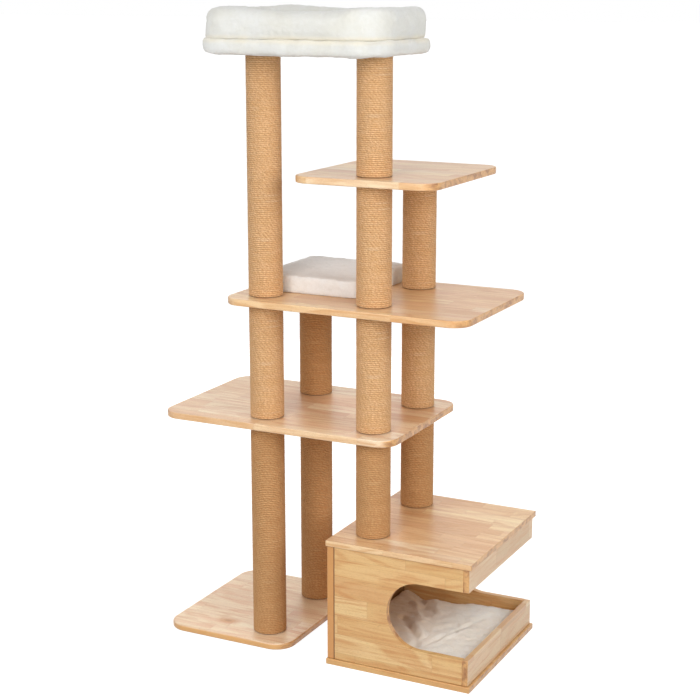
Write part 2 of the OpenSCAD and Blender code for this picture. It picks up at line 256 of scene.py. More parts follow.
def wood(name, board, seed, knot=False, joints=()):
    """Lacquered board of finger-jointed staves.

    joints are the places (axis, distance) where another board meets it, along which a thin dark line of
    painted shade runs.
    """
    look = Look(name)
    at = look.split(look.place())
    through = (set(AXES) - {board.along, board.across}).pop()
    u, v, w = at[board.along], at[board.across], at[through]
    chance, shift, seams = lay_staves(look, u, v, w, board, seed)
    grain_at = look.vector("MULTIPLY_ADD", shift, SCATTER, look.join(u, v, w))

    # The figure is bands of a slow field, and over it lie streaks, fibres and pores
    field = look.noise(look.stretch(grain_at, (2.4, 13.0, 13.0)), 1.0, 2.0, 0.45, 0.8)
    if knot:
        distance = knot_distance(look, u, v)
        field = look.math("ADD", field, look.span(distance, 0.0, KNOT_R, 0.3, 0.0))
    bands = look.span(look.math("SINE", look.math("MULTIPLY", field, RINGS)), -0.6, 1.0)
    broad = look.noise(look.stretch(grain_at, (5.0, 28.0, 28.0)), 1.0, 3.0, 0.6)
    streaks = look.noise(look.stretch(grain_at, (4.0, 170.0, 170.0)), 1.0, 4.0, 0.78)
    fibres = look.noise(look.stretch(grain_at, (30.0, 1100.0, 1100.0)), 1.0, 3.0, 0.6)
    pores = look.noise(look.stretch(grain_at, (150.0, 1900.0, 1900.0)), 1.0, 1.0)
    pores = look.span(pores, 0.60, 0.70)

    colour = look.steps(chance, board.tones)
    colour = look.mix(look.span(broad, 0.44, 0.66, 0.0, board.rosy), colour, ROSY)
    contrast = board.contrast
    figure = look.math("MULTIPLY", bands, look.span(streaks, 0.3, 0.7, 0.2 * contrast, contrast))
    colour = look.mix(figure, colour, GRAIN)
    colour = look.mix(look.span(streaks, 0.46, 0.76, 0.0, contrast), colour, GRAIN)
    colour = look.mix(look.span(fibres, 0.4, 0.8, 0.0, 0.24), colour, GRAIN)
    colour = look.mix(look.math("MULTIPLY", pores, 0.4), colour, PORE)
    if knot:
        colour = look.mix(look.span(distance, 0.005, 0.030, 0.75, 0.0), colour, KNOT_RING)
        colour = look.mix(look.span(distance, 0.003, 0.009, 0.35, 0.0), colour, PORE)
    colour = look.mix(look.math("MULTIPLY", seams, 0.4), colour, PORE)

    # The edges, the end grain, and the dark line of painted shade along each joint with another board
    normal = look.split(look.node("NewGeometry").outputs["Normal"])
    edge = look.span(look.math("ABSOLUTE", normal[through]), 0.2, 0.8, board.edge_tint, 0.0)
    colour = look.mix(edge, colour, EDGE)
    colour = cut_ends(look, colour, normal[board.along], grain_at)
    for axis, place in joints:
        gap = look.math("ABSOLUTE", look.math("SUBTRACT", at[axis], place))
        # Painted shade: darkest within 0.8 mm of the joint, gone by 2.6 mm
        colour = look.mix(look.span(gap, 0.8 * MM, 2.6 * MM, 0.75, 0.0), colour, JOINT_SHADE)

    dull = look.math("MULTIPLY_ADD", fibres, 0.16, 0.32)
    dips = look.math("MAXIMUM", pores, seams)
    look.bump(look.math("SUBTRACT", look.math("MULTIPLY", fibres, 0.5), dips), 0.08 * MM, 0.5)
    look.surface(Base_Color=colour, Roughness=dull, Coat_Weight=0.35, Coat_Roughness=0.3)
    return look.material


def turned_wood(name, tone):
    """Plain beech of the dowels and of the plugs in the posts' ends."""
    look = Look(name)
    place = look.place()
    fibres = look.noise(look.stretch(place, (900.0, 900.0, 60.0)), 1.0, 4.0, 0.6)
    colour = look.mix(look.span(fibres, 0.35, 0.75, 0.0, 0.5), tone, GRAIN)
    look.bump(fibres, 0.1 * MM, 0.4)
    look.surface(Base_Color=colour, Roughness=look.span(fibres, 0.2, 0.8, 0.5, 0.7))
    return look.material


JUTE_TONES = [rgb(226, 183, 130), rgb(242, 205, 156), rgb(234, 194, 142), rgb(250, 221, 177)]
# A darker copy of the same cord's tones: painted shade for the low posts and the back-left posts
JUTE_SHADED_TONES = [rgb(198, 152, 100), rgb(214, 172, 121), rgb(206, 162, 110), rgb(222, 184, 134)]
JUTE_DARK = rgb(172, 110, 54)
# Painted shade where each post stands on its board
FOOT_SHADE = rgb(96, 58, 28)
PLY_LENGTH = 11 * MM


def jute(name, tones):
    """Two-ply jute cord: twisted plies, loose fibres, and tone that drifts along the cord."""
    look = Look(name)
    on_rope = look.split(look.node("UVMap", {"uv_map": "rope"}).outputs[0])
    run, turn = on_rope["x"], on_rope["y"]
    slack = look.noise(look.join(look.math("MULTIPLY", run, 9.0), 0.0, 0.0), 1.0, 3.0, 0.6)
    twist = look.math("MULTIPLY_ADD", run, 1 / PLY_LENGTH, look.math("MULTIPLY", turn, 2.0))
    twist = look.math("MULTIPLY_ADD", slack, 7.0, twist)
    plies = look.math("SINE", look.math("MULTIPLY", twist, math.tau))
    plies = look.span(plies, -1.0, 0.7)
    hair_at = look.join(look.math("MULTIPLY", run, 260.0), look.math("MULTIPLY", twist, 9.0), 0.0)
    hairs = look.noise(hair_at, 1.0, 4.0, 0.65)
    lumps = look.noise(look.join(look.math("MULTIPLY", run, 210.0), 0.0, 0.0), 1.0, 2.0)
    drift = look.noise(look.join(look.math("MULTIPLY", run, 1.7), 0.0, 0.0), 1.0, 3.0, 0.6)
    patches = look.noise(look.place(), 22.0, 3.0, 0.6)
    drift = look.span(drift, 0.3, 0.7, 0.0, 0.6)
    patches = look.span(patches, 0.3, 0.7, 0.0, 0.4)
    colour = look.steps(look.math("ADD", drift, patches), tones)
    colour = look.mix(look.span(lumps, 0.35, 0.6, 0.36, 0.0), colour, JUTE_DARK)
    colour = look.mix(look.span(hairs, 0.35, 0.7, 0.0, 0.42), colour, JUTE_DARK)
    colour = look.mix(look.span(plies, 0.0, 0.5, 0.36, 0.0), colour, JUTE_DARK)
    # Painted shade at the foot: darker within 6 mm of the winding's lower end
    foot = look.span(look.split(look.place())["z"], 1 * MM, 6 * MM, 0.6, 0.0)
    colour = look.mix(foot, colour, FOOT_SHADE)
    height = look.math("MULTIPLY_ADD", hairs, 0.35, plies)
    look.bump(height, 0.35 * MM, 0.7)
    look.surface(Base_Color=colour, Roughness=look.span(hairs, 0.2, 0.8, 0.75, 0.95))
    look.surface(Sheen_Weight=0.04, Sheen_Roughness=0.5)
    return look.material


BED_WHITE = [rgb(218, 219, 217), rgb(214, 213, 205)]
BED_SHADE = rgb(201, 199, 189)
# Painted warm shade along the crease between the bed's lower tier and its bolster
BED_CREASE_SHADE = rgb(224, 217, 199)
CUSHION_CREAM = [rgb(244, 244, 242), rgb(237, 237, 235)]
CUSHION_SHADE = rgb(218, 214, 208)
# Painted shade for the top of the cushion, greyer than its sides
CUSHION_TOP_SHADE = rgb(206, 198, 192)
MAT_BEIGE = [rgb(255, 253, 246), rgb(249, 242, 230)]
MAT_SHADE = rgb(243, 232, 214)
# Painted warm shade over the left of the mat: its colour, then the X below which it is full and above
# which it is gone
MAT_LEFT_SHADE = (rgb(200, 150, 84), 0.12, 0.32)


def plush(name, tones, shade, left_shade=None, top_shade=None, crease_shade=None):
    """Short-pile plush: clumps of pile that catch the light, and a faint drift of tone.

    An optional (colour, low, high) paints warm shade: that colour below X = low, and none of it above
    high.
    An optional colour paints shade on the upper face, more of it the more that face points up.
    An optional (colour, z) paints warm cream shade along the crease at that height.
    """
    look = Look(name)
    place = look.place()
    drift = look.noise(place, 9.0, 3.0, 0.55)
    clumps = look.noise(place, 70.0, 3.0, 0.6, 0.6)
    pile = look.noise(place, 620.0, 3.0, 0.7)
    colour = look.steps(look.span(drift, 0.3, 0.7), tones)
    colour = look.mix(look.span(clumps, 0.3, 0.62, 0.22, 0.0), colour, shade)
    colour = look.mix(look.span(pile, 0.3, 0.6, 0.35, 0.0), colour, shade)
    if left_shade:
        # Painted warm shade, full towards the left of the mat and gone towards the right
        left_shade_colour, low, high = left_shade
        wander = look.math("MULTIPLY_ADD", drift, 0.06, look.split(place)["x"])
        colour = look.mix(look.span(wander, low + 0.03, high + 0.03, 0.75, 0.0), colour, left_shade_colour)
    if crease_shade:
        # Painted warm shade along the crease, fading out 14 mm from it
        crease_shade_colour, level = crease_shade
        away = look.math("ABSOLUTE", look.math("SUBTRACT", look.split(place)["z"], level))
        near = look.span(away, 2 * MM, 14 * MM, 1.0, 0.0)
        share = look.math("MULTIPLY", near, look.span(drift, 0.3, 0.6, 0.3, 1.0))
        colour = look.mix(share, colour, crease_shade_colour)
    if top_shade:
        # Painted shade: the upper face turns greyer the more it faces up
        upward = look.split(look.node("NewGeometry").outputs["Normal"])["z"]
        colour = look.mix(look.span(upward, 0.5, 0.95, 0.0, 0.6), colour, top_shade)
    height = look.math("MULTIPLY_ADD", clumps, 0.8, pile)
    look.bump(height, 0.8 * MM, 0.6)
    look.surface(Base_Color=colour, Roughness=look.span(pile, 0.2, 0.8, 0.85, 1.0))
    look.surface(Sheen_Weight=0.35, Sheen_Roughness=0.6)
    look.surface(Subsurface_Weight=0.5, Subsurface_Radius=(1.0, 0.95, 0.9), Subsurface_Scale=25 * MM)
    return look.material


def steel():
    """Zinc-plated steel with fine scratches."""
    look = Look("zinc_steel")
    place = look.place()
    scratches = look.noise(look.stretch(place, (2500.0, 2500.0, 120.0)), 1.0, 3.0, 0.6)
    blotches = look.noise(place, 300.0, 2.0)
    colour = look.mix(look.span(blotches, 0.3, 0.7), rgb(186, 189, 194), rgb(158, 162, 168))
    look.bump(scratches, 0.02 * MM, 0.5)
    look.surface(Base_Color=colour, Metallic=1.0, Roughness=look.span(scratches, 0.2, 0.8, 0.28, 0.48))
    return look.material


def card():
    """Spiral-wound grey-brown cardboard."""
    look = Look("core_card")
    place = look.place()
    speckle = look.noise(place, 900.0, 4.0, 0.7)
    clouds = look.noise(place, 60.0, 2.0)
    colour = look.mix(look.span(speckle, 0.3, 0.7, 0.0, 0.6), rgb(168, 138, 104), rgb(128, 98, 68))
    colour = look.mix(look.span(clouds, 0.3, 0.7, 0.0, 0.3), colour, rgb(150, 120, 88))
    look.bump(speckle, 0.1 * MM, 0.5)
    look.surface(Base_Color=colour, Roughness=look.span(speckle, 0.2, 0.8, 0.8, 0.95))
    return look.material


# How a board is glued up: the axis of its grain, the axis across its staves, the width of a
# stave and about how long it is, its tones, the share of pink heartwood, the contrast of the
# grain, and the share of the yellower lacquer on its edges
Board = namedtuple("Board", "along across stave reach tones rosy contrast edge_tint")
BOARDS = {
    "base_board": Board("x", "y", 0.062, 0.30, CREAM_TONES, 0.6, 0.42, 0.85),
    "lower_shelf": Board("x", "y", 0.054, 0.26, MIXED_TONES, 0.45, 0.5, 0.3),
    "middle_shelf": Board("x", "y", 0.049, 0.32, PALE_TONES, 0.45, 0.62, 0.2),
    "upper_shelf": Board("x", "y", 0.044, 0.26, PALE_TONES, 0.5, 0.45, 0.2),
    "bed_board": Board("x", "y", 0.050, 0.30, PALE_TONES, 0.5, 0.45, 0.2),
    "cubby_top": Board("x", "y", 0.038, 0.22, PALE_TONES, 0.3, 0.54, 0.1),
    "cubby_bottom": Board("x", "y", 0.046, 0.24, WARM_TONES, 0.1, 0.5, 0.2),
    "cubby_side": Board("z", "y", 0.050, 0.22, BROWN_TONES, 0.0, 0.7, 0.2),
    "cubby_front": Board("x", "z", 0.052, 0.34, WARM_TONES, 0.12, 0.78, 0.2),
    "cubby_back": Board("x", "z", 0.052, 0.30, WARM_TONES, 0.12, 0.78, 0.2),
    "cubby_upper_rail": Board("y", "z", 0.046, 0.20, RAIL_TONES, 0.3, 0.5, 0.2),
    "cubby_lower_rail": Board("y", "z", 0.046, 0.24, RAIL_TONES, 0.3, 0.5, 0.2),
}


def dress_frame():
    """Gives every CAD node that stays its own material."""
    plug_wood = turned_wood("plug_wood", rgb(224, 190, 146))
    zinc = steel()
    cardboard = card()
    wall_low, wall_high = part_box("cubby_side")
    levels = (("z", wall_low.z), ("z", wall_high.z))
    joints = {
        "cubby_front": levels + (("x", wall_high.x),),
        "cubby_back": levels + (("x", wall_high.x),),
        "cubby_side": levels + (("x", wall_high.x),),
        "cubby_upper_rail": levels,
        "cubby_lower_rail": levels,
    }
    for seed, (name, board) in enumerate(BOARDS.items(), 1):
        look = wood(name + "_wood", board, seed, name == "base_board", joints.get(name, ()))
        NODES[name].material_slots[0].material = look
    for name, node in NODES.items():
        if name.startswith("core_"):
            node.material_slots[0].material = cardboard
        elif name.startswith("end_plugs_") or name == "cubby_dowels":
            node.material_slots[0].material = plug_wood
        elif name.endswith(("_inserts", "_studs", "_bolts", "_washers", "_screws")):
            node.material_slots[0].material = zinc


# ---- Meshes ----


def new_piece(name, points, faces, material):
    mesh = bpy.data.meshes.new(name)
    mesh.from_pydata(points, [], faces)
    mesh.polygons.foreach_set("use_smooth", [True] * len(mesh.polygons))
    mesh.materials.append(material)
    piece = bpy.data.objects.new(name, mesh)
    bpy.context.scene.collection.objects.link(piece)
    return piece


def points_of(piece):
    points = np.empty(len(piece.data.vertices) * 3)
    piece.data.vertices.foreach_get("co", points)
    return points.reshape(-1, 3)


def move_points(piece, points):
    piece.data.vertices.foreach_set("co", points.ravel())
    piece.data.update()


def normals_of(piece):
    normals = np.empty(len(piece.data.vertices) * 3)
    piece.data.vertex_normals.foreach_get("vector", normals)
    return normals.reshape(-1, 3)


def bake(piece):
    """Makes the mesh that piece's modifiers give its own, and removes them."""
    graph = bpy.context.evaluated_depsgraph_get()
    mesh = bpy.data.meshes.new_from_object(piece.evaluated_get(graph))
    piece.modifiers.clear()
    piece.data = mesh
    mesh.polygons.foreach_set("use_smooth", [True] * len(mesh.polygons))


# ---- Rope ----

ROPE_D = 5 * MM
ROPE_SIDES = 8
END_GAP = 1 * MM  # between the last turn and the board
TURN_STEPS = 44
CROSSOVER = 0.14  # share of a turn in which the rope climbs to the next one
CROSSOVER_SIDE = math.radians(110)  # the side of the post where it does, at the back
UNEVEN = 0.05 * MM  # size of each of the waves in how tightly the rope lies
SLACK = 0.15 * MM  # room for these waves inside the post's outline


def smooth_step(t):
    t = np.clip(t, 0.0, 1.0)
    return t * t * (3 - 2 * t)


def rope_path(height, post_r, random):
    """The rope's turn count so far, its level and its distance from the post's axis, all along it."""
    reach = height - 2 * END_GAP - ROPE_D
    turns = round(reach / ROPE_D) + 1
    pitch = reach / (turns - 1)
    along = np.arange(turns * TURN_STEPS + 1) / TURN_STEPS
    climb = smooth_step((along % 1.0 - 1 + CROSSOVER) / CROSSOVER)
    level = END_GAP + ROPE_D / 2 + pitch * np.minimum(np.floor(along) + climb, turns - 1)
    uneven = sum(
        np.sin(along * rate + random.uniform(0, math.tau)) for rate in random.uniform(0.2, 9.0, 8)
    )
    radius = post_r - ROPE_D / 2 + uneven * UNEVEN - SLACK
    return along, level, radius


def tube_faces(rings):
    """The quads of a tube of that many rings, ring after ring, then a cap for each end."""
    ring = np.arange(rings - 1)[:, None]
    side = np.arange(ROPE_SIDES)[None, :]
    after = (side + 1) % ROPE_SIDES
    quads = np.stack(
        [
            ring * ROPE_SIDES + side,
            (ring + 1) * ROPE_SIDES + side,
            (ring + 1) * ROPE_SIDES + after,
            ring * ROPE_SIDES + after,
        ],
        axis=-1,
    )
    first = list(range(ROPE_SIDES))
    last = [rings * ROPE_SIDES - 1 - side for side in range(ROPE_SIDES)]
    return quads.reshape(-1, 4).tolist() + [first, last]


def unroll(piece, run):
    """UV map of a rope: metres along it, run at each ring, and turns round it."""
    corners = np.zeros((len(piece.data.loops), 2))
    gaps = len(run) - 1
    on_quads = corners[: gaps * ROPE_SIDES * 4].reshape(gaps, ROPE_SIDES, 4, 2)
    side = np.arange(ROPE_SIDES)[None, :]
    on_quads[:, :, 0, 0] = on_quads[:, :, 3, 0] = run[:-1, None]
    on_quads[:, :, 1, 0] = on_quads[:, :, 2, 0] = run[1:, None]
    on_quads[:, :, 0, 1] = on_quads[:, :, 1, 1] = side / ROPE_SIDES
    on_quads[:, :, 2, 1] = on_quads[:, :, 3, 1] = (side + 1) / ROPE_SIDES
    layer = piece.data.uv_layers.new(name="rope")
    layer.data.foreach_set("uv", corners.ravel())


def winding(node, material, random):
    """Rope laid in flat turns up one post, as one tube from the post's foot to its head."""
    low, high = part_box(node)
    along, level, radius = rope_path(high.z - low.z, (high.x - low.x) / 2, random)
    angle = math.tau * along + CROSSOVER_SIDE
    around = math.tau * np.arange(ROPE_SIDES) / ROPE_SIDES
    ring_r = radius[:, None] + ROPE_D / 2 * np.cos(around)
    ring_z = level[:, None] + ROPE_D / 2 * np.sin(around)
    points = np.stack(
        [ring_r * np.cos(angle)[:, None], ring_r * np.sin(angle)[:, None], ring_z], axis=-1
    )
    name = "winding_" + node.removeprefix("rope_")
    piece = new_piece(name, points.reshape(-1, 3).tolist(), tube_faces(len(points)), material)
    unroll(piece, along * math.tau * float(radius.mean()))
    piece.location = ((low.x + high.x) / 2, (low.y + high.y) / 2, low.z)
    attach(piece, "tree")
    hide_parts(node)


# ---- Plush ----

VOXEL = 5 * MM
RIM_SPACING = 10 * MM  # of the points round the bolster's path
SLAB_SPACING = 20 * MM
CORNER_STEPS = 10
ARC_STEPS = 5
SECTION_STEPS = 32
CROWN_POWER = 2.8  # how square the bolster's section is above its middle; 2 is round
FOOT_POWER = 8.0  # and below it


def rounded_outline(width, depth, radii):
    """Points of a rounded rectangle about the origin, and the outward direction at each.

    radii is one radius, or one for each corner from the back right, anticlockwise.
    """
    points, outward = [], []
    radii = radii if hasattr(radii, "__len__") else (radii,) * 4
    for corner, (signs, radius) in enumerate(zip(((1, 1), (-1, 1), (-1, -1), (1, -1)), radii)):
        centre = np.array(signs) * np.array([width / 2 - radius, depth / 2 - radius])
        for step in range(CORNER_STEPS + 1):
            a = math.pi / 2 * (corner + step / CORNER_STEPS)
            direction = np.array([math.cos(a), math.sin(a)])
            points.append(centre + radius * direction)
            outward.append(direction)
    return np.array(points), np.array(outward)


def finer(points, outward, spacing):
    """The same closed outline with points no further apart than spacing."""
    fine_points, fine_outward = [], []
    for i in range(len(points)):
        j = (i + 1) % len(points)
        count = max(1, math.ceil(np.linalg.norm(points[j] - points[i]) / spacing))
        for step in range(count):
            t = step / count
            fine_points.append(points[i] * (1 - t) + points[j] * t)
            fine_outward.append(outward[i] * (1 - t) + outward[j] * t)
    return np.array(fine_points), np.array(fine_outward)


def slab(name, low, high, corner, edge, material, foot=None):
    """Closed block with rounded corners and rounded edges; foot is the rounding underneath."""
    size, middle = high - low, (low + high) / 2
    foot = edge if foot is None else foot
    points, outward = finer(*rounded_outline(size.x, size.y, corner), SLAB_SPACING)
    arc = [math.pi / 2 * step / ARC_STEPS for step in range(ARC_STEPS + 1)]
    levels = [(foot * (1 - math.sin(a)), foot * (1 - math.cos(a))) for a in arc]
    levels += [(edge * (1 - math.sin(a)), size.z - edge * (1 - math.cos(a))) for a in reversed(arc)]
    rings = []
    for inset, rise in levels:
        rings.append(np.column_stack([points - inset * outward, np.full(len(points), rise)]))
    return loft(name, rings, Vector((middle.x, middle.y, low.z)), material, closed=False)


def loft(name, rings, origin, material, closed):
    """Skin over rings of points: the last ring joins the first if closed, and else both are capped."""
    count, size = len(rings), len(rings[0])
    faces = []
    for i in range(count if closed else count - 1):
        low, high = i * size, (i + 1) % count * size
        for k in range(size):
            after = (k + 1) % size
            faces.append((low + k, low + after, high + after, high + k))
    if not closed:
        faces.append(tuple(reversed(range(size))))
        faces.append(tuple((count - 1) * size + k for k in range(size)))
    points = np.vstack(rings) + np.array(origin)
    return new_piece(name, points.tolist(), faces, material)


def tube_ring(name, low, high, corners, wall, material):
    """Closed stuffed tube round a rounded rectangle: its section is squarer at the foot."""
    size, middle = high - low, (low + high) / 2
    radii = [radius - wall / 2 for radius in corners]
    path, outward = finer(*rounded_outline(size.x - wall, size.y - wall, radii), RIM_SPACING)
    rings = []
    for step in range(SECTION_STEPS):
        a = -math.tau * step / SECTION_STEPS
        power = FOOT_POWER if math.sin(a) < 0 else CROWN_POWER
        bulge = math.copysign(abs(math.cos(a)) ** (2 / power), math.cos(a))
        rise = math.copysign(abs(math.sin(a)) ** (2 / power), math.sin(a))
        ring = path + outward * bulge * wall / 2
        rings.append(np.column_stack([ring, np.full(len(ring), rise * size.z / 2)]))
    return loft(name, rings, middle, material, closed=True)


def remesh(piece):
    material = piece.data.materials[0]
    modifier = piece.modifiers.new("voxels", "REMESH")
    modifier.mode = "VOXEL"
    modifier.voxel_size = VOXEL
    bake(piece)
    piece.data.materials.clear()
    piece.data.materials.append(material)


PRESSURE = 4.0
FRAMES = 20


def inflate(piece, cap):
    """Swells a remeshed form as cloth under pressure from inside, outwards by no more than cap."""
    rest, outward = points_of(piece), normals_of(piece)
    cloth = piece.modifiers.new("cloth", "CLOTH")
    cloth.settings.use_pressure = True
    cloth.settings.uniform_pressure_force = PRESSURE
    cloth.settings.effector_weights.gravity = 0
    cloth.point_cache.frame_start = 1
    cloth.point_cache.frame_end = FRAMES
    for number in range(1, FRAMES + 1):
        bpy.context.scene.frame_set(number)
    bake(piece)
    moved = points_of(piece) - rest
    inward = np.minimum(np.sum(moved * outward, axis=1, keepdims=True), 0.0)
    moved -= inward * outward
    length = np.linalg.norm(moved, axis=1, keepdims=True)
    held = cap * np.tanh(length / cap) / np.maximum(length, 1e-9)
    move_points(piece, rest + moved * held)
    bpy.context.scene.frame_set(1)


def subdivide(piece):
    modifier = piece.modifiers.new("finer", "SUBSURF")
    modifier.levels = 1
    bake(piece)


def roughen(piece, layers, seed):
    """Pushes points in and out along their normals, by layers of lumps (height, size)."""
    points, normals = points_of(piece), normals_of(piece)
    shift = Vector((seed * 3.1, seed * 1.7, seed * 2.3))
    push = np.zeros(len(points))
    for height, size in layers:
        push += [height * noise.noise(Vector(p) / size + shift) for p in points]
    move_points(piece, points + normals * push[:, None])


# Lumps, as (height, size): of the pile on every plush piece, and of the stuffing in some
PILE = ((1.4 * MM, 30 * MM), (0.8 * MM, 11 * MM), (0.8 * MM, 5 * MM))
RIM_LUMPS = (7 * MM, 150 * MM)
TIER_LUMPS = (3 * MM, 60 * MM)
MAT_LUMPS = ((3.5 * MM, 60 * MM), (3 * MM, 22 * MM))


def stuffed(piece, cap, seed, rest_z=None, lumps=PILE):
    """The whole cloth pass for one stuffed piece, which may lie flat on a face at rest_z.

    cap is how far it may swell.
    """
    remesh(piece)
    inflate(piece, cap)
    subdivide(piece)
    roughen(piece, lumps, seed)
    if rest_z is not None:
        points = points_of(piece)
        points[:, 2] = np.maximum(points[:, 2], rest_z)
        move_points(piece, points)


def shrunk(low, high, x, y, z):
    """The box low to high, smaller by that much on each side."""
    margin = Vector((x, y, z))
    return low + margin, high - margin


# Corner radii from the back right, anticlockwise: two of them are slacker than the others
TIER_CORNERS = (60 * MM, 84 * MM, 60 * MM, 84 * MM)
RIM_CORNERS = (58 * MM, 92 * MM, 58 * MM, 92 * MM)
TIER_EDGE = 9 * MM
TIER_FOOT = 15 * MM
TIER_PROUD = 6 * MM  # how far the plush stands proud at the bed's left end
RIM_PROUD = 8 * MM
RIM_WALL = 60 * MM
RIM_PRESS = 5 * MM  # how much of the bolster's round underside its own weight presses flat
PAD_CORNER = 36 * MM
PAD_EDGE = 9 * MM


def make_tier(material):
    cover_low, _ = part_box("bed_under_cover")
    _, tier_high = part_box("bed_tier")
    low, high = shrunk(cover_low, tier_high, 0, 1 * MM, 0)
    low.x -= TIER_PROUD
    tier = slab("bed_lower_tier", low, high, TIER_CORNERS, TIER_EDGE, material, TIER_FOOT)
    stuffed(tier, cap=4 * MM, seed=1, lumps=PILE + (TIER_LUMPS,))
    carve(tier)
    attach(tier, "tree")
    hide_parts("bed_tier", "bed_under_cover")


def make_rim(material):
    rest_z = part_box("bed_bolster")[0].z
    low, high = shrunk(*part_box("bed_bolster"), 2 * MM, 2 * MM, 1 * MM)
    low.x -= RIM_PROUD
    wave_z = low.z
    low.z -= RIM_PRESS
    bolster = tube_ring("bed_rim", low, high, RIM_CORNERS, RIM_WALL, material)
    stuffed(bolster, cap=6 * MM, seed=2, rest_z=rest_z, lumps=PILE + (RIM_LUMPS,))
    fold(bolster, RIM_WAVES, wave_z, high.z)
    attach(bolster, "tree")
    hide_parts("bed_bolster")


def make_pad(material):
    low, high = shrunk(*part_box("bed_pad"), 3 * MM, 3 * MM, 3 * MM)
    pad = slab("bed_floor_pad", low, high, PAD_CORNER, PAD_EDGE, material)
    stuffed(pad, cap=7 * MM, seed=3, rest_z=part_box("bed_pad")[0].z)
    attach(pad, "tree")
    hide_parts("bed_pad")


# Waves along the top of the bolster: height, half width, and the stretch that each one covers
RIM_WAVES = [
    (-7 * MM, 75 * MM, (-0.02, -0.235), (0.06, -0.235)),
    (3 * MM, 60 * MM, (-0.21, -0.20), (-0.19, -0.20)),
    (3 * MM, 60 * MM, (0.17, -0.235), (0.20, -0.235)),
    (5 * MM, 60 * MM, (-0.14, 0.02), (-0.08, 0.02)),
]
CARVE_GAP = 0.4 * MM  # between the tier and what it is cut round
CARVE_DEPTH = 60 * MM  # of the posts' room, down from their heads
ROOM_CORNER = 50 * MM
ROOM_EDGE = 3 * MM


def carve(tier):
    """Cuts the room of the bed board and of the two posts out of the lower tier."""
    material = tier.data.materials[0]
    around = (-CARVE_GAP,) * 3
    low, high = shrunk(*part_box("bed_board"), *around)
    cutters = [slab("board_room", low, high, ROOM_CORNER, ROOM_EDGE, material)]
    for name in ("rope_front_left_top", "rope_front_right_top"):
        low, high = shrunk(*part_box(name), *around)
        low.z = high.z - CARVE_DEPTH
        radius = (high.x - low.x) / 2 - 0.1 * MM
        cutters.append(slab("post_room", low, high, radius, 1 * MM, material))
    for cutter in cutters:
        modifier = tier.modifiers.new("cut", "BOOLEAN")
        modifier.operation = "DIFFERENCE"
        modifier.solver = "EXACT"
        modifier.object = cutter
    bake(tier)
    for cutter in cutters:
        bpy.data.objects.remove(cutter)


CUSHION_CORNER = 20 * MM
CUSHION_EDGE = 7 * MM
CUSHION_FOOT = 2 * MM


def make_cushion(material):
    rest_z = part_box("shelf_cushion")[0].z
    low, high = shrunk(*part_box("shelf_cushion"), 2 * MM, 2 * MM, 0)
    cushion = slab("square_cushion", low, high, CUSHION_CORNER, CUSHION_EDGE, material, CUSHION_FOOT)
    stuffed(cushion, cap=4 * MM, seed=4, rest_z=rest_z)
    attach(cushion, "shelf_cushion")
    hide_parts("shelf_cushion")


# Folds of the mat: height over its face, half width, and the points that the fold runs through
MAT_FOLDS = [
    (5 * MM, 34 * MM, (0.075, 0.205), (0.085, 0.235)),
    (8 * MM, 22 * MM, (0.082, 0.04), (0.084, 0.15)),
    (-8 * MM, 40 * MM, (0.136, 0.240), (0.134, 0.215)),
    (-14 * MM, 40 * MM, (0.165, 0.240), (0.22, 0.235)),
    (-5 * MM, 14 * MM, (0.137, 0.195), (0.169, 0.140), (0.206, 0.072)),
    (8 * MM, 13 * MM, (0.150, 0.150), (0.216, 0.035)),
    (6 * MM, 12 * MM, (0.190, 0.190), (0.235, 0.110)),
    (-8 * MM, 11 * MM, (0.155, 0.046), (0.199, -0.007), (0.241, -0.051), (0.262, -0.104)),
    (7 * MM, 14 * MM, (0.110, 0.030), (0.170, -0.040), (0.205, -0.120)),
    (6 * MM, 10 * MM, (0.215, 0.010), (0.255, -0.045)),
    (-8 * MM, 12 * MM, (0.100, -0.02), (0.150, -0.10)),
    (-5 * MM, 7 * MM, (0.288, -0.083), (0.302, -0.036), (0.324, 0.031), (0.342, 0.089), (0.367, 0.161)),
    (4 * MM, 8 * MM, (0.308, -0.06), (0.345, 0.05)),
    (3 * MM, 7 * MM, (0.327, 0.024), (0.326, 0.073), (0.339, 0.096)),
    (-4 * MM, 18 * MM, (0.276, 0.010), (0.288, 0.012)),
]
MAT_CORNER = 14 * MM
MAT_EDGE = 10 * MM
MAT_RISE = 16 * MM  # room that the folds have over the mat's own face
MAT_STILL = 8 * MM  # height over the floor below which no fold reaches
MAT_FREE = 30 * MM  # height from which the folds are whole


def away_from(points, path):
    """Distance in plan from each point to a path of straight stretches."""
    nearest = np.full(len(points), np.inf)
    for start, end in zip(np.array(path[:-1]), np.array(path[1:])):
        along = end - start
        share = np.clip((points[:, :2] - start) @ along / (along @ along), 0.0, 1.0)
        off = points[:, :2] - start - share[:, None] * along
        nearest = np.minimum(nearest, np.linalg.norm(off, axis=1))
    return nearest


def fold(piece, folds, fixed_z, free_z):
    """Raises and lowers the upper face along each fold: not at all below fixed_z, fully at free_z."""
    points = points_of(piece)
    share = smooth_step((points[:, 2] - fixed_z) / (free_z - fixed_z))
    for height, width, *path in folds:
        points[:, 2] += share * height * np.exp(-((away_from(points, path) / width) ** 2))
    move_points(piece, points)


def make_mat(material):
    low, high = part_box("cubby_mat")
    inner_low, inner_high = shrunk(low, high, 3 * MM, 3 * MM, 0)
    inner_high.z = high.z - MAT_RISE
    mat = slab("cubby_mat_plush", inner_low, inner_high, MAT_CORNER, MAT_EDGE, material)
    remesh(mat)
    inflate(mat, cap=5 * MM)
    fold(mat, MAT_FOLDS, low.z + MAT_STILL, low.z + MAT_FREE)
    subdivide(mat)
    roughen(mat, PILE + MAT_LUMPS, seed=5)
    move_points(mat, np.clip(points_of(mat), np.array(low), np.array(high)))
    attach(mat, "cubby_mat")
    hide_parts("cubby_mat")


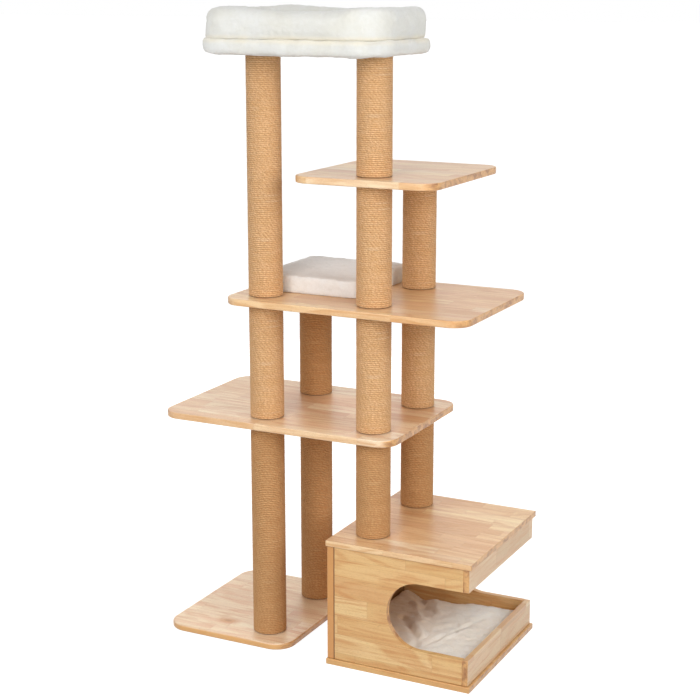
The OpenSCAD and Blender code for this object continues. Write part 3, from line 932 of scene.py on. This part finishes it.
# ---- Camera, floor and light ----


CAMERA_PLACE = (1.80544, -3.56045, 1.73634)
CAMERA_PITCH = math.radians(76.706)
CAMERA_TURN = math.radians(26.633)
LENS = 80.634


def make_camera():
    data = bpy.data.cameras.new("camera")
    data.lens = LENS
    data.sensor_width = 36
    data.clip_end = 200
    camera = bpy.data.objects.new("camera", data)
    camera.location = CAMERA_PLACE
    camera.rotation_euler = (CAMERA_PITCH, 0, CAMERA_TURN)
    bpy.context.scene.collection.objects.link(camera)
    bpy.context.scene.camera = camera


def make_sun(name, toward, strength, spread):
    data = bpy.data.lights.new(name, "SUN")
    data.energy = strength
    data.angle = math.radians(spread)
    sun = bpy.data.objects.new(name, data)
    sun.rotation_euler = Vector(toward).to_track_quat("-Z", "Y").to_euler()
    bpy.context.scene.collection.objects.link(sun)


def make_softbox(name, place, aim, size, power):
    data = bpy.data.lights.new(name, "AREA")
    data.shape = "DISK"
    data.size = size
    data.energy = power
    softbox = bpy.data.objects.new(name, data)
    softbox.location = place
    softbox.rotation_euler = (Vector(aim) - Vector(place)).to_track_quat("-Z", "Y").to_euler()
    bpy.context.scene.collection.objects.link(softbox)
    return softbox


def unlit_share(tree, seen, cast):
    """Strength as seen, by the camera or in a reflection, and as cast, which lights the tree."""
    diffuse = tree.nodes.new("ShaderNodeLightPath").outputs["Is Diffuse Ray"]
    strength = tree.nodes.new("ShaderNodeMapRange")
    strength.inputs["To Min"].default_value = seen
    strength.inputs["To Max"].default_value = cast
    tree.links.new(diffuse, strength.inputs["Value"])
    return strength.outputs["Result"]


FLOOR_REACH = 60.0
FLOOR_GLOW = (0.9, 0.08)  # how bright it looks, and how bright it is as a light on the tree
SKY_GLOW = (1.0, 0.33)

# Each soft light: its place, the point it faces, its diameter and its power
SOFTBOXES = {
    "key_light": ((0.0, -3.35, 2.45), (0, 0, 1.1), 2.0, 62),
    "side_light": ((3.4, -1.3, 2.15), (0, 0, 1.0), 2.0, 60),
    "front_light": ((1.8, -3.4, 1.7), (0, 0, 1.1), 1.8, 15),
    "back_light": ((-1.8, 3.0, 1.5), (0, 0, 0.9), 2.0, 62),
}


def make_floor():
    look = Look("floor_paper")
    grain = look.noise(look.place(), 3.0, 2.0)
    look.surface(
        Base_Color=look.mix(grain, rgb(154, 154, 154), rgb(150, 150, 150)),
        Roughness=look.span(grain, 0.0, 1.0, 0.85, 0.95),
        Emission_Color=(1, 1, 1, 1),
        Emission_Strength=unlit_share(look.tree, *FLOOR_GLOW),
    )
    reach = FLOOR_REACH
    corners = [(-reach, -reach, 0), (reach, -reach, 0), (reach, reach, 0), (-reach, reach, 0)]
    new_piece("floor", corners, [(0, 1, 2, 3)], look.material)


def make_studio():
    world = bpy.data.worlds.new("studio")
    world.use_nodes = True
    background = world.node_tree.nodes["Background"]
    background.inputs["Color"].default_value = (1, 1, 1, 1)
    tree = world.node_tree
    tree.links.new(unlit_share(tree, *SKY_GLOW), background.inputs["Strength"])
    bpy.context.scene.world = world
    softboxes = {name: make_softbox(name, *setting) for name, setting in SOFTBOXES.items()}
    softboxes["back_light"].visible_glossy = False
    make_sun("top_light", (0.1, 0.15, -1.0), 0.4, 60)
    bpy.context.scene.view_settings.view_transform = "Standard"


def make_rope():
    pale = jute("jute_cord", JUTE_TONES)
    shaded_cord = jute("jute_cord_painted_shade", JUTE_SHADED_TONES)
    random = np.random.default_rng(7)
    for name in sorted(NODES):
        if name.startswith("rope_"):
            # The low posts and the back-left posts take the darker copy of the cord, which is painted
            # shade
            shaded = name.endswith("_low") or "back_left" in name
            winding(name, shaded_cord if shaded else pale, random)


make_camera()
make_floor()
make_studio()
dress_frame()
make_rope()
# Painted shade along the crease at the top of the lower tier
crease_shade = (BED_CREASE_SHADE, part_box("bed_tier")[1].z)
bed_plush = plush("bed_plush", BED_WHITE, BED_SHADE, crease_shade=crease_shade)
make_tier(bed_plush)
make_rim(bed_plush)
make_pad(bed_plush)
make_cushion(plush("cushion_plush", CUSHION_CREAM, CUSHION_SHADE, top_shade=CUSHION_TOP_SHADE))
make_mat(plush("mat_plush", MAT_BEIGE, MAT_SHADE, left_shade=MAT_LEFT_SHADE))
